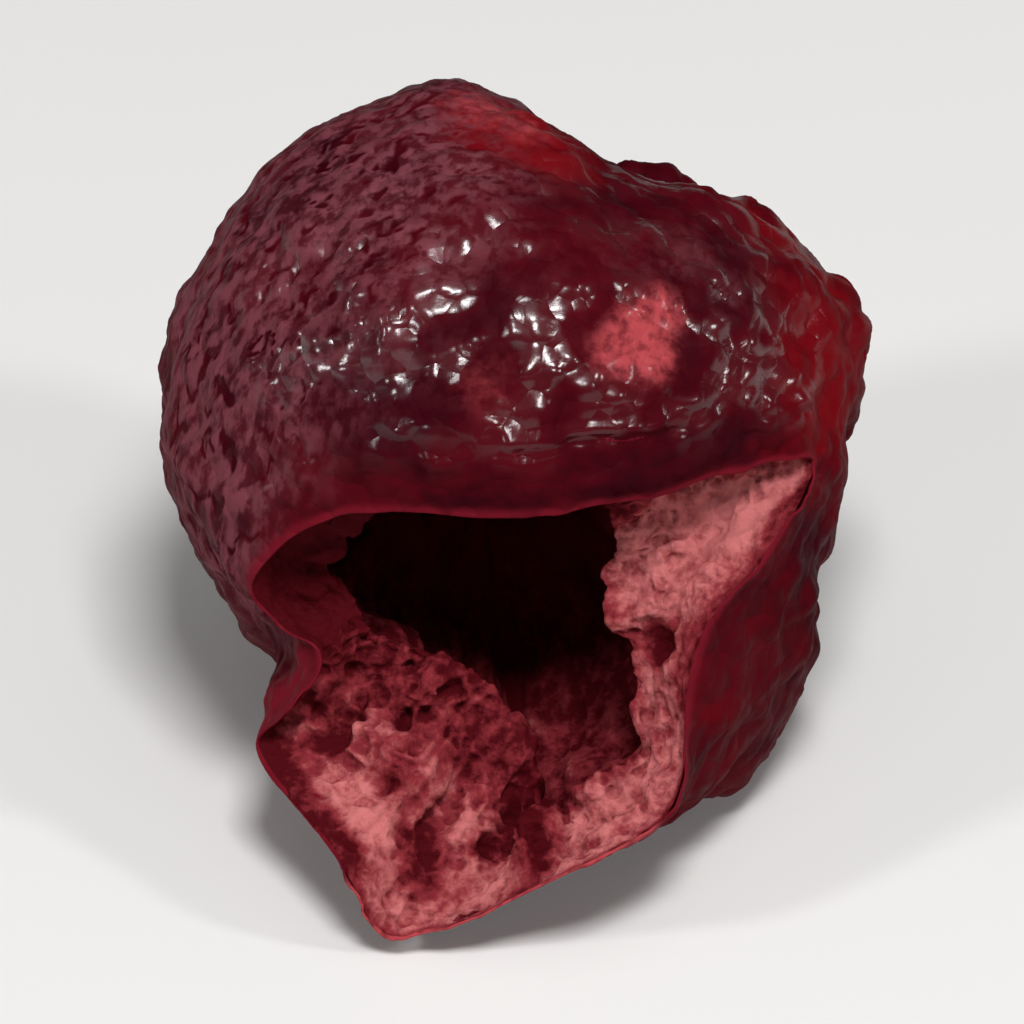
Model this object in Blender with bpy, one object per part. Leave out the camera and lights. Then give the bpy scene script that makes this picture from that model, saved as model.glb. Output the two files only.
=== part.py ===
"""Freeze-dried sour cherry, pitted, torn open at the front and lying on its lower side.

The fruit is one closed solid, a ball pushed in on itself: skin from the back round to the torn edge, then the
cut face of the flesh, then the hollow that the pit left. Its form is worked out in millimetres from the
fruit's middle, with +X to the right, +Z up and the mouth facing -Y. A turn is an angle round the mouth as
seen from the front, anticlockwise from +X, and it names the same strip of the ball from pole to pole.
"""

import math

import bmesh
import bpy
import numpy as np
from mathutils import Vector, noise

MM = 0.001

# Segments and rings of the ball, its rings being shared between skin, cut face and hollow
SEGMENTS = 84
SKIN_RINGS = 34
CUT_RINGS = 8
HOLLOW_RINGS = 14
RINGS = SKIN_RINGS + CUT_RINGS + HOLLOW_RINGS

# Height of the fruit's middle above its flat spot
MIDDLE_HEIGHT = 8.3

# Half sizes of the ball before its bumps and dents: right, back, up
BALL_HALVES = (8.7, 8.6, 8.8)

# Bumps and dents of the ball: direction (right, back, up), reach in degrees, height
BUMPS = (
    ((-0.50, 0.45, 0.75), 34, 0.45),     # shoulder on the upper left
    ((-0.03, 0.55, 0.83), 11, 0.30),     # brow over the dimple
    ((0.33, 0.59, 0.74), 17, -2.55),     # dimple where the stalk sat
    ((0.38, 0.05, 0.92), 19, -0.80),     # groove running forward from it
    ((0.60, 0.45, 0.66), 14, -0.45),     # low shoulder to its right
    ((0.95, 0.15, 0.28), 13, 1.00),      # right-hand tip of the upper lip
    ((0.97, -0.14, -0.20), 22, -0.55),   # flat cheek below the tip
    ((-0.64, -0.57, -0.51), 27, -1.55),  # hollow cheek above the lower left flap
    ((0.66, -0.44, -0.61), 16, 1.10),    # full cheek on the lower right
)

# Torn edge of the skin: turn in degrees, right, up, forward
SKIN_EDGE = (
    (17, 7.6, 1.9, 3.6),      # right corner of the mouth
    (36, 5.6, 2.5, 5.0),
    (60, 3.0, 2.7, 6.5),
    (88, 0.0, 2.6, 7.2),      # middle of the upper lip
    (125, -4.2, 2.1, 6.3),
    (152, -6.4, -0.2, 5.9),   # left cheek
    (166, -5.7, -1.6, 5.8),
    (177, -4.7, -2.0, 6.5),   # notch
    (186, -5.3, -3.1, 7.1),
    (197, -6.3, -4.6, 6.7),   # tip of the lower left flap
    (222, -4.1, -5.8, 10.0),
    (241, -2.8, -7.7, 10.6),  # chin
    (282, 1.9, -5.3, 10.8),
    (304, 4.1, -4.5, 9.3),
    (332, 4.7, -1.1, 7.4),
    (357, 6.6, 0.7, 5.6),
)

# Edge of the pit's hollow, where the cut face ends: turn in degrees, right, up, forward
HOLLOW_EDGE = (
    (20, 2.8, 0.9, 4.9),
    (55, 2.0, 2.2, 5.3),
    (95, -0.8, 2.4, 5.4),
    (130, -3.7, 1.3, 5.0),
    (158, -4.5, -0.6, 4.7),
    (173, -3.8, -1.3, 4.9),
    (188, -3.3, -2.1, 5.5),   # ridge of the lower left flap
    (212, -1.5, -2.5, 5.7),
    (238, 0.1, -3.9, 6.3),
    (255, 0.5, -5.1, 6.9),
    (268, 0.9, -6.0, 7.7),    # floor of the mouth
    (283, 1.8, -5.4, 7.5),
    (302, 3.1, -4.5, 7.3),
    (325, 2.9, -2.3, 5.8),
    (350, 2.3, -0.7, 5.0),
)

# How late the skin leaves the ball for its torn edge, high where it turns in sharply: turn, exponent
LIP_ROLL = (
    (0, 6), (35, 8), (90, 11), (140, 10), (162, 14), (178, 18), (198, 16), (222, 12), (250, 6), (285, 6), (325, 4),
)

# How far the cut face swells, and the creases torn across it: turn, half width in degrees, depth
CUT_SWELL = 0.35
CREASES = (
    (180, 5, 0.3),   # between the left cheek and the flap
    (268, 6, 1.0),   # between the flap and the right half of the floor
)

# The pit's hollow: its middle (right, back, up), its half sizes, and the share of its depth that its edge shapes
PIT_MIDDLE = (-0.5, -0.6, 0.0)
PIT_HALVES = (3.8, 4.6, 3.7)
PIT_NECK = 0.55

# Crumpling of skin and flesh: width of the folds and how far they stand out
SKIN_FOLDS = ((4.6, 0.58), (2.4, 0.25))
FLESH_CRAGS = ((3.2, 0.55), (1.7, 0.25))

# The plump side, where the skin is still smooth: its direction, and the share of the folds left there
PLUMP_SIDE = (-0.40, -0.65, 0.65)
PLUMP_SHARE = 0.3

SKIN_COLOUR = (0.055, 0.006, 0.012, 1)
FLESH_COLOUR = (0.45, 0.11, 0.11, 1)


def around(stations, turn):
    """Values of a closed smooth curve through stations set round the mouth, at turn in degrees."""
    table = np.array(stations, float)
    knots = np.concatenate([table[-2:, 0] - 360, table[:, 0], table[:2, 0] + 360])
    values = np.concatenate([table[-2:, 1:], table[:, 1:], table[:2, 1:]])
    slopes = np.zeros_like(values)
    slopes[1:-1] = (values[2:] - values[:-2]) / (knots[2:] - knots[:-2])[:, None]
    turn = (turn - knots[1]) % 360 + knots[1]
    i = np.clip(np.searchsorted(knots, turn, side="right") - 1, 1, len(knots) - 3)
    span = (knots[i + 1] - knots[i])[:, None]
    t = (turn - knots[i])[:, None] / span
    start = (1 + 2 * t) * (1 - t) ** 2 * values[i] + t * (1 - t) ** 2 * span * slopes[i]
    end = t * t * (3 - 2 * t) * values[i + 1] - t * t * (1 - t) * span * slopes[i + 1]
    return start + end


def ramp(low, high, value):
    """Rises smoothly from 0 at low to 1 at high."""
    t = np.clip((value - low) / (high - low), 0, 1)
    return t * t * (3 - 2 * t)


def eased(angles, towards, share):
    """Angles turned the short way towards others, by share."""
    return angles + ((towards - angles + math.pi) % (2 * math.pi) - math.pi) * share


def direction(polar, clock):
    """Unit vectors: polar angle from the back of the fruit, clock angle round it as seen from the front."""
    return np.stack([np.sin(polar) * np.cos(clock), np.cos(polar), np.sin(polar) * np.sin(clock)], axis=1)


def polar_clock_reach(points):
    """The two angles of direction(), and the distance from the origin."""
    reach = np.linalg.norm(points, axis=1)
    return np.arccos(points[:, 1] / reach), np.arctan2(points[:, 2], points[:, 0]), reach


def edge_points(stations, turn):
    """Points of an edge given as right, up, forward, in the model's own axes."""
    right, up, forward = around(stations, turn).T
    return np.stack([right, -forward, up], axis=1)


def ball_reach(ways):
    """Distance from the middle to the skin, before the skin leaves for its torn edge."""
    reach = 1 / np.linalg.norm(ways / np.array(BALL_HALVES), axis=1)
    for way, spread, height in BUMPS:
        away = np.degrees(np.arccos(np.clip(ways @ np.array(way) / np.linalg.norm(way), -1, 1)))
        reach += height * np.exp(-((away / spread) ** 2))
    return reach


def skin_points(turn, t):
    """The skin, from the back of the fruit at t 0 to its torn edge at t 1."""
    polar, clock, edge_reach = polar_clock_reach(edge_points(SKIN_EDGE, turn))
    ways = direction(polar * t, eased(np.radians(turn), clock, t * t))
    share = t ** around(LIP_ROLL, turn)[:, 0]
    return ways * (ball_reach(ways) * (1 - share) + edge_reach * share)[:, None]


def cut_points(turn, t):
    """The cut face of the flesh, from the skin's edge at t 0 to the hollow's edge at t 1."""
    outer = edge_points(SKIN_EDGE, turn)
    inner = edge_points(HOLLOW_EDGE, turn)
    along = edge_points(SKIN_EDGE, turn + 1) - edge_points(SKIN_EDGE, turn - 1)
    out = np.cross(inner - outer, along)
    out /= np.linalg.norm(out, axis=1)[:, None]
    swell = CUT_SWELL * 4 * t * (1 - t)
    for place, half_width, depth in CREASES:
        off = ((turn - place + 180) % 360 - 180) / half_width
        swell -= depth * np.exp(-(off**2)) * ramp(0, 0.5, t) * ramp(1, 0.6, t)
    return outer + (inner - outer) * t[:, None] + out * swell[:, None]


def hollow_points(turn, t):
    """The pit's hollow, from its edge at t 0 to its far end at t 1."""
    middle = np.array(PIT_MIDDLE)
    polar, clock, edge_reach = polar_clock_reach(edge_points(HOLLOW_EDGE, turn) - middle)
    ways = direction(polar * (1 - t), eased(np.radians(turn), clock, (1 - t) ** 2))
    pit_reach = 1 / np.linalg.norm(ways / np.array(PIT_HALVES), axis=1)
    share = ramp(PIT_NECK, 0, t)
    return middle + ways * (edge_reach * share + pit_reach * (1 - share))[:, None]


def fruit_points(turn, ring):
    """Points of the smooth form: ring runs from 0 at the back, over the torn edge, to the hollow's far end."""
    points = np.empty((len(turn), 3))
    skin = ring <= SKIN_RINGS
    hollow = ring >= SKIN_RINGS + CUT_RINGS
    cut = ~(skin | hollow)
    points[skin] = skin_points(turn[skin], ring[skin] / SKIN_RINGS)
    points[cut] = cut_points(turn[cut], (ring[cut] - SKIN_RINGS) / CUT_RINGS)
    points[hollow] = hollow_points(turn[hollow], (ring[hollow] - SKIN_RINGS - CUT_RINGS) / HOLLOW_RINGS)
    return points


def crumple(point, folds):
    """How far a point stands out of the smooth form, in round swells with narrow valleys between them."""
    return sum(height * (2 * math.hypot(noise.noise(point / width * 1.6), 0.1) - 0.45) for width, height in folds)


def skin_crumple(point):
    """The same on the skin, where the plump side keeps only a share of the folds."""
    facing = point.normalized().dot(Vector(PLUMP_SIDE).normalized())
    return crumple(point, SKIN_FOLDS) * (1 + (PLUMP_SHARE - 1) * float(ramp(-0.35, 0.35, facing)))


def make_fruit():
    """The fruit as a bmesh, in millimetres about its middle, with its ring numbers in a vertex layer."""
    fruit = bmesh.new()
    bmesh.ops.create_uvsphere(fruit, u_segments=SEGMENTS, v_segments=RINGS, radius=1)
    ball = np.array([vert.co for vert in fruit.verts])
    ring = np.round(np.arccos(np.clip(ball[:, 2], -1, 1)) / math.pi * RINGS)
    turn = np.degrees(np.arctan2(-ball[:, 1], ball[:, 0]))
    layer = fruit.verts.layers.float.new("ring")
    for vert, point, place in zip(fruit.verts, fruit_points(turn, ring), ring):
        vert.co = point
        vert[layer] = place
    fruit.normal_update()
    for vert in fruit.verts:
        flesh = float(ramp(SKIN_RINGS, SKIN_RINGS + CUT_RINGS / 2, vert[layer]))
        vert.co += vert.normal * (skin_crumple(vert.co) * (1 - flesh) + crumple(vert.co, FLESH_CRAGS) * flesh)
        vert.co.z = max(vert.co.z, -MIDDLE_HEIGHT)
    return fruit


def colour_fruit(fruit):
    """Gives the faces behind the torn edge the skin's material, and the others the flesh's."""
    layer = fruit.verts.layers.float["ring"]
    for face in fruit.faces:
        face.smooth = True
        face.material_index = int(max(vert[layer] for vert in face.verts) > SKIN_RINGS)


def stand_fruit(fruit):
    """Sets the fruit on the floor with the middle of its box over the origin, in metres."""
    places = np.array([vert.co for vert in fruit.verts])
    middle = (places.min(axis=0) + places.max(axis=0)) / 2
    bmesh.ops.translate(fruit, verts=fruit.verts, vec=(-middle[0], -middle[1], MIDDLE_HEIGHT))
    bmesh.ops.scale(fruit, verts=fruit.verts, vec=(MM, MM, MM))


def plain_material(name, colour, roughness):
    """A Principled BSDF material of one colour."""
    material = bpy.data.materials.new(name)
    material.use_nodes = True
    shader = material.node_tree.nodes["Principled BSDF"]
    shader.inputs["Base Color"].default_value = colour
    shader.inputs["Roughness"].default_value = roughness
    shader.inputs["Metallic"].default_value = 0
    return material


def main():
    """Clears the scene and leaves the one fruit in it."""
    for thing in list(bpy.data.objects):
        bpy.data.objects.remove(thing)
    fruit = make_fruit()
    colour_fruit(fruit)
    stand_fruit(fruit)
    mesh = bpy.data.meshes.new("cherry")
    fruit.to_mesh(mesh)
    fruit.free()
    mesh.materials.append(plain_material("dried cherry skin", SKIN_COLOUR, 0.4))
    mesh.materials.append(plain_material("dried cherry flesh", FLESH_COLOUR, 0.8))
    cherry = bpy.data.objects.new("cherry", mesh)
    bpy.context.scene.collection.objects.link(cherry)


main()
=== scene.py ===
"""Looks of a freeze-dried sour cherry: its wrinkled skin, its torn flesh and the studio that it lies in.

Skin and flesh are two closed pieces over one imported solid. The fruit's form is worked out in millimetres
from its middle, with +X to the right, +Z up and the mouth facing -Y. A turn is an angle round the mouth as
seen from the front, anticlockwise from +X, and it names the same strip of the fruit from its back to the
hollow's end.
"""

import math

import bmesh
import bpy
import numpy as np
from bpy.props import FloatProperty, FloatVectorProperty, PointerProperty
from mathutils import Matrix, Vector, noise
from mathutils.bvhtree import BVHTree


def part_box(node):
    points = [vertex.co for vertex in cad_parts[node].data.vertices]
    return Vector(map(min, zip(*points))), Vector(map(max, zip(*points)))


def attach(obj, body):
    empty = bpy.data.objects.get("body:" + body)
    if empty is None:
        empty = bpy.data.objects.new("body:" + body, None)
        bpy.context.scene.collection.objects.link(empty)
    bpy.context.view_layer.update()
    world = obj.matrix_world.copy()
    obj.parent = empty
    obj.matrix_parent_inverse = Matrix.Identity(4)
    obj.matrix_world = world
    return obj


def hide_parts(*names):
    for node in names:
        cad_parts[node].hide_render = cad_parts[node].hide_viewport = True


bl_info = {
    "name": "Freeze-dried Sour Cherry",
    "version": (1, 0, 0),
    "blender": (4, 5, 0),
    "location": "View3D > Sidebar > Cherry",
    "description": "Adds a torn, pitted freeze-dried sour cherry and a small studio for it",
    "category": "Add Mesh",
}

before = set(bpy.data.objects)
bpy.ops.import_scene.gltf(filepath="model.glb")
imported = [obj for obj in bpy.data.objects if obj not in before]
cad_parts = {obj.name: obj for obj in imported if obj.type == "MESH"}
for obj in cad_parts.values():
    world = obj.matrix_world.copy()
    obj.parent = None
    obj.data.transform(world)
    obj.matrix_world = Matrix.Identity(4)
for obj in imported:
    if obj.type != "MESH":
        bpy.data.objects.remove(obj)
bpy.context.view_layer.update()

MM = 0.001

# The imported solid's own rings and segments, and the height of its middle above its flat spot
SEGMENTS = 84
SKIN_RINGS = 34
CUT_RINGS = 8
HOLLOW_RINGS = 14
RINGS = SKIN_RINGS + CUT_RINGS + HOLLOW_RINGS
MIDDLE_HEIGHT = 8.3

# Half sizes of the ball before its bumps and dents: right, back, up
BALL_HALVES = (8.7, 8.6, 8.8)

# Bumps and dents of the ball: direction (right, back, up), reach in degrees, height
BUMPS = (
    ((-0.50, 0.45, 0.75), 34, 0.45),     # shoulder on the upper left
    ((-0.03, 0.55, 0.83), 11, 0.30),     # brow over the dimple
    ((0.33, 0.59, 0.74), 17, -2.55),     # dimple where the stalk sat
    ((0.38, 0.05, 0.92), 19, -0.80),     # groove running forward from it
    ((0.60, 0.45, 0.66), 14, -0.45),     # low shoulder to its right
    ((0.95, 0.15, 0.28), 13, 1.00),      # right-hand tip of the upper lip
    ((0.97, -0.14, -0.20), 22, -0.55),   # flat cheek below the tip
    ((-0.64, -0.57, -0.51), 27, -1.55),  # hollow cheek above the lower left flap
    ((0.66, -0.44, -0.61), 16, 1.10),    # full cheek on the lower right
)

# Torn edge of the skin: turn in degrees, right, up, forward
SKIN_EDGE = (
    (17, 7.6, 1.9, 3.6),      # right corner of the mouth
    (36, 5.6, 2.5, 5.0),
    (60, 3.0, 2.7, 6.5),
    (88, 0.0, 2.6, 7.2),      # middle of the upper lip
    (125, -4.2, 2.1, 6.3),
    (152, -6.4, -0.2, 5.9),   # left cheek
    (166, -5.7, -1.6, 5.8),
    (177, -4.7, -2.0, 6.5),   # notch
    (186, -5.3, -3.1, 7.1),
    (197, -6.3, -4.6, 6.7),   # tip of the lower left flap
    (222, -4.1, -5.8, 10.0),
    (241, -2.8, -7.7, 10.6),  # chin
    (282, 1.9, -5.3, 10.8),
    (304, 4.1, -4.5, 9.3),
    (332, 4.7, -1.1, 7.4),
    (357, 6.6, 0.7, 5.6),
)

# Edge of the pit's hollow, where the cut face ends: turn in degrees, right, up, forward
HOLLOW_EDGE = (
    (20, 2.8, 0.9, 4.9),
    (55, 2.0, 2.2, 5.3),
    (95, -0.8, 2.4, 5.4),
    (130, -3.7, 1.3, 5.0),
    (158, -4.5, -0.6, 4.7),
    (173, -3.8, -1.3, 4.9),
    (188, -3.3, -2.1, 5.5),   # ridge of the lower left flap
    (212, -1.5, -2.5, 5.7),
    (238, 0.1, -3.9, 6.3),
    (255, 0.5, -5.1, 6.9),
    (268, 0.9, -6.0, 7.7),    # floor of the mouth
    (283, 1.8, -5.4, 7.5),
    (302, 3.1, -4.5, 7.3),
    (325, 2.9, -2.3, 5.8),
    (350, 2.3, -0.7, 5.0),
)

# How late the skin leaves the ball for its torn edge, high where it turns in sharply: turn, exponent
LIP_ROLL = (
    (0, 6), (35, 8), (90, 11), (140, 10), (162, 14), (178, 18),
    (198, 16), (222, 12), (250, 6), (285, 6), (325, 4),
)

# How far the cut face swells, and the creases torn across it: turn, half width in degrees, depth
CUT_SWELL = 0.35
CREASES = (
    (180, 5, 0.3),   # between the left cheek and the flap
    (268, 6, 1.0),   # between the flap and the right half of the floor
)

# The pit's hollow: its middle (right, back, up), its half sizes, and the share of its depth that follows
# the shape of its edge
PIT_MIDDLE = (-0.5, -0.6, 0.0)
PIT_HALVES = (3.8, 4.6, 3.7)
PIT_NECK = 0.55

# Crumpling of skin and flesh: width of the folds and how far they stand out
SKIN_FOLDS = ((4.6, 0.58), (2.4, 0.25))
FLESH_CRAGS = ((3.2, 0.55), (1.7, 0.25))

# Steps of smooth noise across one fold, how rounded the valleys between folds are, and the drop that keeps
# folds level with the smooth form
NOISE_STEPS = 1.6
VALLEY_ROUNDING = 0.1
FOLD_DROP = 0.45

# How far apart the noise of two seeds lies, for swells and for pits
SWELL_SEED_STEP = 7.31
PIT_SEED_STEP = 5.17

# The plump side, where the skin is still smooth: its direction, and the share of the folds left there
PLUMP_SIDE = (-0.40, -0.65, 0.65)
PLUMP_SHARE = 0.3

# Rings beyond a pole that keep the surface smooth across it, and how close a pole's points lie together
POLE_ROWS = 3
POLE_SIZE = 1e-9

# How closely, in millimetres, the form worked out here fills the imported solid's box
FORM_TOLERANCE = 0.05

# How far the flesh lies under the smooth skin, away from the torn edge, and how soon it gets there
FLESH_SINK = 0.42
SINK_SLOPE = 0.11

# Shares of the gap between the skin and the cut face that each of these may fill, where the gap is narrow
SINK_SHARE = 0.35
LINING_SHARE = 0.30
PIT_SHARE = 0.30

# What the first two have, in millimetres, where there is no gap
SINK_LEAST = 0.02
LINING_LEAST = 0.01

# Share of the way down to the flesh that the skin's relief may dip
DIP_SHARE = 0.8

# Height above the flat spot at which the skin's relief is whole
RELIEF_CLEARANCE = 0.6

# How far from the torn edge the skin starts to thicken on its inner side, and where it has thickened
LINING_REACH = (1.0, 4.5)

# Rings of the rougher copy of the cut face and the hollow that the skin's gap is measured to
FACING_ROWS = 79

# Points round the skin, and rings of its outer side, its hem and its inner side
SKIN_COLUMNS = 440
SKIN_ROWS = 186
HEM_ROWS = 8
LINING_ROWS = 26

# How the outer side's rings close up towards the torn edge: the share that does, and how strongly
CLOSING_SHARE = 0.25
CLOSING_POWER = 1.6

# How strongly the inner side's rings close up towards the torn edge
LINING_POWER = 2.2

# Points round the flesh, and rings of its hidden outside, its cut face and the hollow
FLESH_COLUMNS = 500
BURIED_ROWS = 26
CUT_ROWS = 96
HOLLOW_ROWS = 64

# Tints on the skin: direction (right, back, up), reach in degrees, strength
# Bloom patches: partly the skin's dull mauve bloom, partly painted sheen on the shoulders, sides and cap
BLOOM_AND_SHEEN_PATCHES = (
    ((-0.39, 0.12, 0.91), 24, 0.8),     # upper left
    ((-0.75, -0.18, 0.63), 27, 1.0),    # left shoulder
    ((-0.90, -0.38, 0.22), 22, 0.9),    # left side
    ((-0.86, -0.45, -0.18), 14, 0.8),   # above the notch
    ((-0.28, -0.18, 0.94), 15, 0.6),    # behind the glossy band
    ((-0.45, 0.80, 0.40), 30, 0.7),     # back
    ((0.55, 0.75, -0.35), 24, 0.5),     # low at the back
    ((0.80, 0.20, -0.45), 22, 0.45),    # low on the right
    ((-0.55, 0.20, -0.70), 30, 0.5),    # low on the left
    ((-0.05, -0.50, 0.86), 26, 0.1),    # between the glints of the cap
    ((0.55, -0.25, 0.80), 14, 0.3),     # right part of the cap
)
BLUSH_PATCHES = (
    ((0.00, 0.16, 0.99), 11, 1.0),      # crown
    ((0.14, 0.06, 0.99), 9, 0.9),
    ((0.93, -0.17, 0.33), 19, 0.8),     # right-hand end
    ((0.80, 0.25, 0.55), 18, 0.6),      # shoulder behind it
    ((0.62, -0.68, -0.38), 26, 0.3),    # cheek under the right-hand wall
    ((0.10, 0.95, -0.10), 26, 0.5),     # back
)
WORN_PATCHES = (
    ((0.38, -0.54, 0.75), 5.5, 0.9),    # rubbed patch on the brow of the cap
    ((0.45, -0.45, 0.77), 4.5, 0.8),
    ((0.42, -0.58, 0.70), 4.5, 0.8),
    ((0.30, -0.61, 0.73), 4.5, 0.7),
    ((-0.06, -0.72, 0.69), 8.0, 0.30),  # fainter one to its left
    ((-0.08, 0.24, 0.97), 8.0, 0.50),   # edge of the crown
    ((0.06, 0.13, 0.99), 5.0, 0.45),
)
GLOSS_PATCHES = (
    ((-0.48, -0.50, 0.72), 20, 1.0),    # left part of the cap
    ((0.00, -0.55, 0.83), 24, 1.0),     # its middle
    ((0.50, -0.38, 0.78), 22, 1.0),     # its right part
    ((0.78, -0.38, 0.50), 12, 0.8),     # right-hand end
    ((0.45, 0.60, 0.65), 24, 0.7),      # dimple
    ((0.20, 0.80, 0.20), 34, 0.6),      # back
    ((-0.60, 0.50, 0.10), 26, 0.5),     # left of the back
    ((0.85, 0.35, -0.10), 24, 0.7),     # right side
    ((-0.75, -0.05, -0.55), 22, 0.6),   # low on the left
)

# Share of the gloss that stays where the skin faces sideways or down, and the upward part of its normal
# where the gloss starts to rise and where it is whole
LOW_GLOSS = 0.2
GLOSS_LEAN = (0.15, 0.5)

# Crease across the brow of the upper lip: turn, how far it runs from the torn edge, depth
BROW_CREASE = (
    (0, 2.2, 0), (54, 2.2, 0), (64, 2.1, 0.12), (76, 2.0, 0.16), (86, 1.8, 0.12),
    (95, 1.7, 0), (180, 1.6, 0),
)

# Half width of that crease, and the place and half width of the low ridge above it
CREASE_HALF = 0.14
RIDGE_PLACE = 0.3
RIDGE_HALF = 0.16

# Widths of the skin's folds, wrinkles and cracks, and of the areas that have the cracks
FOLD_WIDTH = 2.2
WRINKLE_WIDTH = 0.95
CRACK_WIDTH = 0.7
CRACKED_WIDTH = 1.0

# How far the skin has sunk where it is rubbed
WORN_DEPTH = 0.05

# Widths of the flesh's fibres, crags, wide pits and fine pits
FIBRE_WIDTH = 0.8
CRAG_WIDTH = 1.5
WIDE_PIT_WIDTH = 0.62
FINE_PIT_WIDTH = 0.36

# Fibres run inwards: radius of the ring that they stand on, and how much they change along their run
FIBRE_RING = 7
FIBRE_RUN = 0.30

# Relief, in millimetres, that the flesh's material reads as a height of 1
HEIGHT_STEP = 0.3

# Stretches round the mouth: from one turn to another, and how far they fade beyond them
SHADED_LIP = (40, 108, 15)      # upper lip, kept free of bloom and sheen so that its dark skin is painted shade
UNDER_LIP = (60, 172, 14)     # smoother flesh under the upper lip and on the left cheek
OPEN_FLESH = (172, 420, 14)   # all the rest, smoother in the hollow than on the cut face
FLAP_SKIN = (182, 226, 6)     # skin along the left edge of the flap, coloured as the rim
FLAP_BRIM = (194, 223, 6)     # dark flesh inside that edge
FLAP_FLESH = (186, 232, 14)   # spongy flesh of the flap
FIBROUS = (186, 300, 10)      # flap and floor, with strong fibres
CHIN_SKIN = (228, 296, 8)     # lower edge, where the skin is rubbed
CHIN_HEM = (231, 262, 6)      # pale flesh along it
RIGHT_HALF = (285, 380, 15)   # flesh that stays pale further in, before the painted shade of the hollow
WALL = (322, 364, 12)         # right-hand wall, pale only away from the edge

# How pale the hem of the chin is at least
CHIN_PALENESS = 0.85

# How pale the flesh is round the mouth: turn, paleness. The fall from the right-hand wall to the upper lip,
# the low values under the lip and on the left cheek, and the dip at the floor's crease are painted shade
PALE_TURNS = (
    (0, 1.1),     # right-hand wall
    (11, 1.3),
    (20, 0.7),
    (32, 0.1),
    (62, -0.5),   # painted shade under the upper lip
    (120, -0.7),
    (170, -0.6),  # left cheek, in painted shade
    (192, 0.15),  # pitted part of the flap
    (210, 0.45),
    (240, 0.50),
    (260, 0.45),
    (267, 0.0),   # painted shade in the floor's crease
    (274, 0.7),
    (285, 0.9),
    (300, 0.9),
    (315, 0.85),
    (335, 1.0),
)

# Paler and darker spots of the cut face: place (right, back, up) in millimetres, reach, change of paleness
FLESH_TONES = (
    ((-4.4, -8.1, -5.1), 0.9, 0.6),    # pale lumps of the flap
    ((-3.6, -6.9, -3.9), 0.5, 0.6),
    ((-3.7, -8.0, -4.8), 0.5, 0.5),
    ((-0.8, -8.2, -5.7), 0.8, 0.7),
    ((-3.3, -9.0, -5.6), 0.6, 0.7),
    ((-0.4, -9.8, -6.6), 1.1, 0.7),
    ((-2.9, -10.0, -7.1), 0.9, 0.6),
    ((-2.2, -8.7, -6.2), 0.6, -0.8),   # dark band down the flap
    ((-2.1, -9.5, -6.8), 0.55, -0.8),
    ((-0.5, -8.7, -6.3), 0.4, -0.9),   # painted shade in the furrows towards the floor's crease
    ((0.6, -8.7, -5.6), 0.4, -1.0),
    ((0.7, -7.2, -5.3), 0.7, -0.8),
    ((0.8, -9.3, -5.8), 0.35, -1.3),
    ((0.8, -10.0, -5.9), 0.30, -1.2),
    ((0.1, -7.5, -5.6), 0.35, -1.2),
    ((0.1, -8.2, -6.2), 0.30, -1.1),
    ((1.7, -8.2, -5.7), 0.8, 0.1),     # wedge right of it
    ((5.7, -4.5, 0.7), 0.9, 0.6),      # pale lump high on the right-hand wall
    ((3.4, -6.2, -2.4), 0.7, 0.3),     # narrow band below the wall
    ((3.7, -6.2, -1.9), 0.50, -2.2),   # painted shade in the pit between it and the wall
)

# Pits in the flesh: place (right, back, up) in millimetres, reach, depth
FLESH_PITS = (
    ((-4.3, -6.8, -4.4), 0.30, 0.45),  # upper left of the flap
    ((-3.9, -6.4, -3.9), 0.25, 0.40),
    ((-4.7, -6.5, -3.8), 0.25, 0.40),
    ((-3.1, -8.2, -4.8), 0.30, 0.45),
    ((-2.6, -6.8, -3.7), 0.25, 0.35),
    ((-2.2, -7.6, -4.9), 0.22, 0.35),
    ((-0.5, -8.7, -6.3), 0.30, 0.40),
    ((0.8, -9.1, -5.8), 0.30, 0.35),   # furrows of the floor
    ((0.8, -9.8, -5.9), 0.28, 0.35),
    ((0.1, -7.8, -5.9), 0.28, 0.35),
    ((3.7, -6.2, -1.9), 0.36, 0.90),   # right-hand wall
)

# Where the camera looks, from the fruit's middle in millimetres: to the right, and down the picture
LOOK_RIGHT = 0.1
LOOK_DOWN = 1.8

# The floor's radius in metres, and its sides
FLOOR_RADIUS = 1.5
FLOOR_SIDES = 96

# Lamps: name, setting of its power, width, depth, and place from the fruit's middle, in metres
LAMPS = (
    ("left", "side", 0.05, 0.05, (-0.30, -0.15, 0.22)),
    ("right", "side", 0.05, 0.05, (0.32, -0.13, 0.22)),
    ("key", "key", 0.10, 0.09, (0.03, -0.18, 0.35)),
    ("soft", "soft", 0.50, 0.50, (0.05, -0.10, 0.60)),
)


def around(stations, turn):
    """Values of a closed smooth curve through stations set round the mouth, at turn in degrees."""
    table = np.array(stations, float)
    knots = np.concatenate([table[-2:, 0] - 360, table[:, 0], table[:2, 0] + 360])
    values = np.concatenate([table[-2:, 1:], table[:, 1:], table[:2, 1:]])
    slopes = np.zeros_like(values)
    slopes[1:-1] = (values[2:] - values[:-2]) / (knots[2:] - knots[:-2])[:, None]
    turn = (turn - knots[1]) % 360 + knots[1]
    i = np.clip(np.searchsorted(knots, turn, side="right") - 1, 1, len(knots) - 3)
    span = (knots[i + 1] - knots[i])[:, None]
    t = (turn - knots[i])[:, None] / span
    start = (1 + 2 * t) * (1 - t) ** 2 * values[i] + t * (1 - t) ** 2 * span * slopes[i]
    end = t * t * (3 - 2 * t) * values[i + 1] - t * t * (1 - t) * span * slopes[i + 1]
    return start + end


def ramp(low, high, value):
    """Rises smoothly from 0 at low to 1 at high."""
    t = np.clip((value - low) / (high - low), 0, 1)
    return t * t * (3 - 2 * t)


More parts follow.
